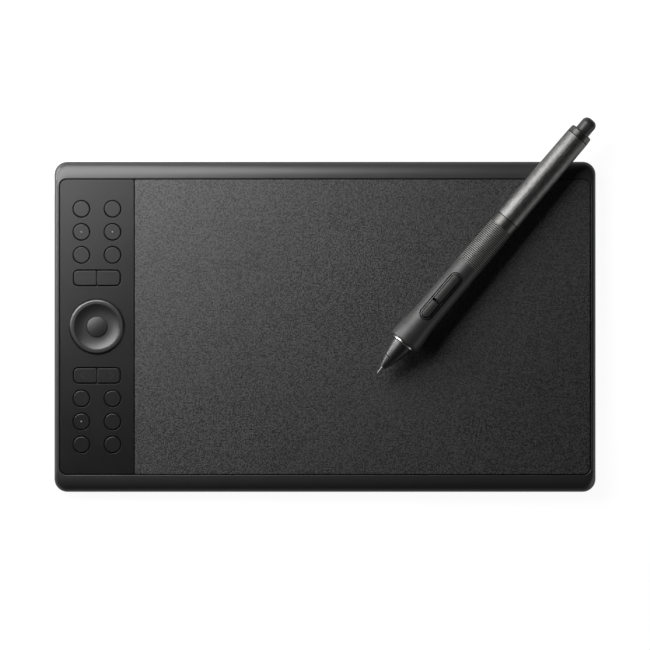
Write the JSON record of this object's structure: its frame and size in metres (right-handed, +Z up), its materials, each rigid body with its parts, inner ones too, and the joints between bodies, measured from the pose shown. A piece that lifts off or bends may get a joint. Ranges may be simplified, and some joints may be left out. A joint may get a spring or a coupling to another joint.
{
  "type": "graphics tablet",
  "caption": "Flat pen tablet with rounded long edges, a strip of press keys round a turning dial beside the drawing sheet, and a flared pen lying across it.",
  "frame": {"origin": "on the desk under the middle of the tablet, in the centre of the middle foot's lower face", "axes": "+X to the user's right along the long side, +Y away from the user, +Z up from the desk"},
  "size_m": [0.2708, 0.1871, 0.0255],
  "materials": {
    "case_shell": "dark grey, fine satin texture",
    "foot_rubber": "matt black",
    "drawing_sheet": "near black, fine matt grain",
    "key_panel": "near black, matt",
    "key_cap": "near black, satin",
    "dial": "near black, satin with a smoother rim",
    "dial_button": "near black, semi gloss",
    "inner_plastic": "natural moulded plastic",
    "screw_steel": "black oxide",
    "circuit_board": "green solder mask",
    "shield_foil": "bright foil",
    "sheet_steel": "galvanised sheet",
    "dome_steel": "bright stainless",
    "component_black": "moulded black",
    "socket_steel": "plated steel",
    "nib": "matt black",
    "nose_gloss": "glossy black",
    "bright_ring": "satin chrome",
    "grip_rubber": "soft matt",
    "switch_frame": "semi gloss",
    "side_switch": "semi gloss",
    "ribbed_sleeve": "dark, fine ribs",
    "barrel_ring": "dark satin metal",
    "barrel_metal": "brushed gunmetal",
    "end_collar": "dark gloss",
    "eraser": "dark satin",
    "coil_copper": "enamelled winding"
  },
  "bodies": {
    "tablet": {"top_case": "case_shell", "bottom_cover": "case_shell", "case_screws": "screw_steel", "foot_rear_left": "foot_rubber", "foot_rear_right": "foot_rubber", "foot_front_left": "foot_rubber", "foot_front_right": "foot_rubber", "foot_centre": "foot_rubber", "work_surface": "drawing_sheet", "key_panel": "key_panel", "sensor_board": "circuit_board", "shield_sheet": "shield_foil", "stiffener_plate": "sheet_steel", "key_board": "circuit_board", "key_guide_frame": "inner_plastic", "snap_domes": "dome_steel", "board_screws": "screw_steel", "controller_chip": "component_black", "board_connector": "component_black", "encoder_sensor": "component_black", "dial_hub": "inner_plastic", "usb_socket": "socket_steel"},
    "rear_key_1_left": {"rear_key_1_left": "key_cap"},
    "rear_key_1_right": {"rear_key_1_right": "key_cap"},
    "rear_key_2_left": {"rear_key_2_left": "key_cap"},
    "rear_key_2_right": {"rear_key_2_right": "key_cap"},
    "rear_key_3_left": {"rear_key_3_left": "key_cap"},
    "rear_key_3_right": {"rear_key_3_right": "key_cap"},
    "front_key_1_left": {"front_key_1_left": "key_cap"},
    "front_key_1_right": {"front_key_1_right": "key_cap"},
    "front_key_2_left": {"front_key_2_left": "key_cap"},
    "front_key_2_right": {"front_key_2_right": "key_cap"},
    "front_key_3_left": {"front_key_3_left": "key_cap"},
    "front_key_3_right": {"front_key_3_right": "key_cap"},
    "rear_bar_left": {"rear_bar_left": "key_cap"},
    "rear_bar_right": {"rear_bar_right": "key_cap"},
    "front_bar_left": {"front_bar_left": "key_cap"},
    "front_bar_right": {"front_bar_right": "key_cap"},
    "dial_ring": {"dial_ring": "dial", "encoder_wheel": "inner_plastic"},
    "dial_button": {"dial_button": "dial_button"},
    "pen": {"pen_nose_tip": "nose_gloss", "pen_nose_cone": "nose_gloss", "pen_nose_ring": "bright_ring", "pen_tube": "inner_plastic", "pen_grip": "grip_rubber", "pen_switch_bezel": "switch_frame", "pen_ribbed_sleeve": "ribbed_sleeve", "pen_barrel_ring": "barrel_ring", "pen_barrel": "barrel_metal", "pen_end_collar": "end_collar", "pen_coil": "coil_copper", "pen_nib_sensor": "component_black", "pen_eraser_sensor": "component_black", "pen_circuit_board": "circuit_board"},
    "pen_nib": {"pen_nib": "nib"},
    "pen_eraser": {"pen_eraser": "eraser"},
    "pen_switch_front": {"pen_switch_front": "side_switch"},
    "pen_switch_rear": {"pen_switch_rear": "side_switch"}
  },
  "joints": [
    {"name": "rear_key_1_left_press", "type": "slide", "parent": "tablet", "child": "rear_key_1_left", "axis": [0, 0, -1], "range_m": [0, 0.0005], "stiffness_N_per_m": 1600},
    {"name": "rear_key_1_right_press", "type": "slide", "parent": "tablet", "child": "rear_key_1_right", "axis": [0, 0, -1], "range_m": [0, 0.0005], "stiffness_N_per_m": 1600},
    {"name": "rear_key_2_left_press", "type": "slide", "parent": "tablet", "child": "rear_key_2_left", "axis": [0, 0, -1], "range_m": [0, 0.0005], "stiffness_N_per_m": 1600},
    {"name": "rear_key_2_right_press", "type": "slide", "parent": "tablet", "child": "rear_key_2_right", "axis": [0, 0, -1], "range_m": [0, 0.0005], "stiffness_N_per_m": 1600},
    {"name": "rear_key_3_left_press", "type": "slide", "parent": "tablet", "child": "rear_key_3_left", "axis": [0, 0, -1], "range_m": [0, 0.0005], "stiffness_N_per_m": 1600},
    {"name": "rear_key_3_right_press", "type": "slide", "parent": "tablet", "child": "rear_key_3_right", "axis": [0, 0, -1], "range_m": [0, 0.0005], "stiffness_N_per_m": 1600},
    {"name": "front_key_1_left_press", "type": "slide", "parent": "tablet", "child": "front_key_1_left", "axis": [0, 0, -1], "range_m": [0, 0.0005], "stiffness_N_per_m": 1600},
    {"name": "front_key_1_right_press", "type": "slide", "parent": "tablet", "child": "front_key_1_right", "axis": [0, 0, -1], "range_m": [0, 0.0005], "stiffness_N_per_m": 1600},
    {"name": "front_key_2_left_press", "type": "slide", "parent": "tablet", "child": "front_key_2_left", "axis": [0, 0, -1], "range_m": [0, 0.0005], "stiffness_N_per_m": 1600},
    {"name": "front_key_2_right_press", "type": "slide", "parent": "tablet", "child": "front_key_2_right", "axis": [0, 0, -1], "range_m": [0, 0.0005], "stiffness_N_per_m": 1600},
    {"name": "front_key_3_left_press", "type": "slide", "parent": "tablet", "child": "front_key_3_left", "axis": [0, 0, -1], "range_m": [0, 0.0005], "stiffness_N_per_m": 1600},
    {"name": "front_key_3_right_press", "type": "slide", "parent": "tablet", "child": "front_key_3_right", "axis": [0, 0, -1], "range_m": [0, 0.0005], "stiffness_N_per_m": 1600},
    {"name": "rear_bar_left_press", "type": "slide", "parent": "tablet", "child": "rear_bar_left", "axis": [0, 0, -1], "range_m": [0, 0.0005], "stiffness_N_per_m": 1600},
    {"name": "rear_bar_right_press", "type": "slide", "parent": "tablet", "child": "rear_bar_right", "axis": [0, 0, -1], "range_m": [0, 0.0005], "stiffness_N_per_m": 1600},
    {"name": "front_bar_left_press", "type": "slide", "parent": "tablet", "child": "front_bar_left", "axis": [0, 0, -1], "range_m": [0, 0.0005], "stiffness_N_per_m": 1600},
    {"name": "front_bar_right_press", "type": "slide", "parent": "tablet", "child": "front_bar_right", "axis": [0, 0, -1], "range_m": [0, 0.0005], "stiffness_N_per_m": 1600},
    {"name": "dial_turn", "type": "hinge", "parent": "tablet", "child": "dial_ring", "pos_m": [-0.11395, 0, 0.0087], "axis": [0, 0, 1], "continuous": true},
    {"name": "dial_button_press", "type": "slide", "parent": "tablet", "child": "dial_button", "axis": [0, 0, -1], "range_m": [0, 0.0005], "stiffness_N_per_m": 1800},
    {"name": "pen_lift", "type": "slide", "parent": "tablet", "child": "pen", "axis": [0, 0, 1], "range_m": [0, 0.06]},
    {"name": "pen_nib_press", "type": "slide", "parent": "pen", "child": "pen_nib", "axis": [0.6467, 0.7626, -0.0164], "range_m": [0, 0.0004], "stiffness_N_per_m": 1500},
    {"name": "pen_eraser_press", "type": "slide", "parent": "pen", "child": "pen_eraser", "axis": [-0.6467, -0.7626, 0.0164], "range_m": [0, 0.0008], "stiffness_N_per_m": 1000},
    {"name": "pen_switch_front_press", "type": "slide", "parent": "pen", "child": "pen_switch_front", "axis": [0.0758, -0.0856, -0.9934], "range_m": [0, 0.00035], "stiffness_N_per_m": 4000},
    {"name": "pen_switch_rear_press", "type": "slide", "parent": "pen", "child": "pen_switch_rear", "axis": [0.0758, -0.0856, -0.9934], "range_m": [0, 0.00035], "stiffness_N_per_m": 4000}
  ]
}
